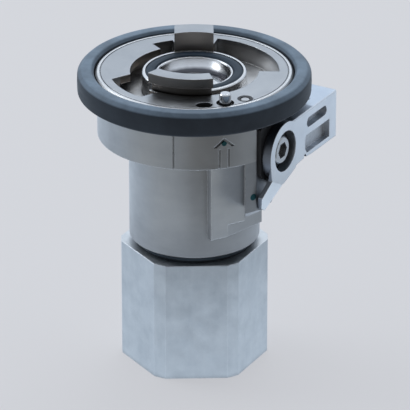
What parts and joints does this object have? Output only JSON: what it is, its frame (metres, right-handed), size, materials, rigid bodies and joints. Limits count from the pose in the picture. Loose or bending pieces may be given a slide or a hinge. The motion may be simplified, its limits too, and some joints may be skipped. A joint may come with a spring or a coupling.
{
  "type": "quick disconnect coupler",
  "caption": "Half of a twist-lock dry-break fluid coupler: full-bore ball valve, side lever, rubber bumper ring and swivelling hexagon end with female thread.",
  "frame": {"origin": "centre of the port mouth on the hexagon's end face", "axes": "+Z along the flow axis towards the mating face, +X along the valve stem towards the lever"},
  "size_m": [0.0774, 0.0774, 0.1087],
  "materials": {
    "stainless_blasted": "bead-blasted satin",
    "stainless_machined": "fine machined satin",
    "stainless_polished": "polished",
    "lever_cast_steel": "electropolished casting",
    "black_oxide_steel": "black oxide",
    "spring_steel": "drawn wire",
    "rubber_black": "satin moulded",
    "ptfe_white": "matte",
    "polymer_black": "matte"
  },
  "bodies": {
    "end_fitting": {"swivel_hex": "stainless_machined", "race_fill_plug": "stainless_blasted", "swivel_wiper": "rubber_black"},
    "housing": {"coupler_body": "stainless_blasted", "tail_adapter": "stainless_blasted", "adapter_o_ring": "rubber_black", "rear_ball_seat": "ptfe_white", "front_ball_seat": "ptfe_white", "seat_sleeve": "stainless_polished", "carrier_spring": "spring_steel", "stem_thrust_washer": "ptfe_white", "lever_bearing_plate": "polymer_black", "bearing_plate_screws": "black_oxide_steel", "lock_pin_bush": "black_oxide_steel", "lock_pin_spring": "spring_steel", "sense_plunger_spring": "spring_steel", "plunger_plug": "stainless_blasted", "bumper_ring": "rubber_black", "swivel_balls": "stainless_polished", "swivel_o_rings": "rubber_black", "swivel_thrust_ring": "ptfe_white", "lever_stop_pin": "stainless_polished"},
    "valve_lever": {"valve_ball": "stainless_polished", "valve_stem": "stainless_blasted", "stem_o_rings": "rubber_black", "interlock_cam": "stainless_blasted", "lever": "lever_cast_steel", "lever_washer": "black_oxide_steel", "lever_screw": "stainless_polished"},
    "lock": {"lock_slider": "stainless_blasted", "lock_pin": "stainless_polished"},
    "plunger": {"sense_plunger": "stainless_polished"},
    "face_carrier": {"seal_carrier": "stainless_polished", "face_seal": "rubber_black"}
  },
  "joints": [
    {"name": "swivel_spin", "type": "hinge", "parent": "end_fitting", "child": "housing", "pos_m": [0, 0, 0.033], "axis": [0, 0, 1], "continuous": true},
    {"name": "lever_turn", "type": "hinge", "parent": "housing", "child": "valve_lever", "pos_m": [0.03, 0, 0.081], "axis": [-1, 0, 0], "range_deg": [0, 90]},
    {"name": "lock_pin_rise", "type": "slide", "parent": "housing", "child": "lock", "axis": [0, 0, 1], "range_m": [0, 0.003], "deforming": ["lock_pin_spring"]},
    {"name": "plunger_press", "type": "slide", "parent": "housing", "child": "plunger", "axis": [0, 0, -1], "range_m": [0, 0.004], "stiffness_N_per_m": 300, "springref_m": -0.003, "deforming": ["sense_plunger_spring"]},
    {"name": "carrier_float", "type": "slide", "parent": "housing", "child": "face_carrier", "axis": [0, 0, -1], "range_m": [0, 0.0012], "stiffness_N_per_m": 2000, "springref_m": -0.001, "deforming": ["carrier_spring"]}
  ],
  "couplings": [
    {"joint": "lock_pin_rise", "follows": "lever_turn", "m_per_rad": 0.0019098}
  ]
}
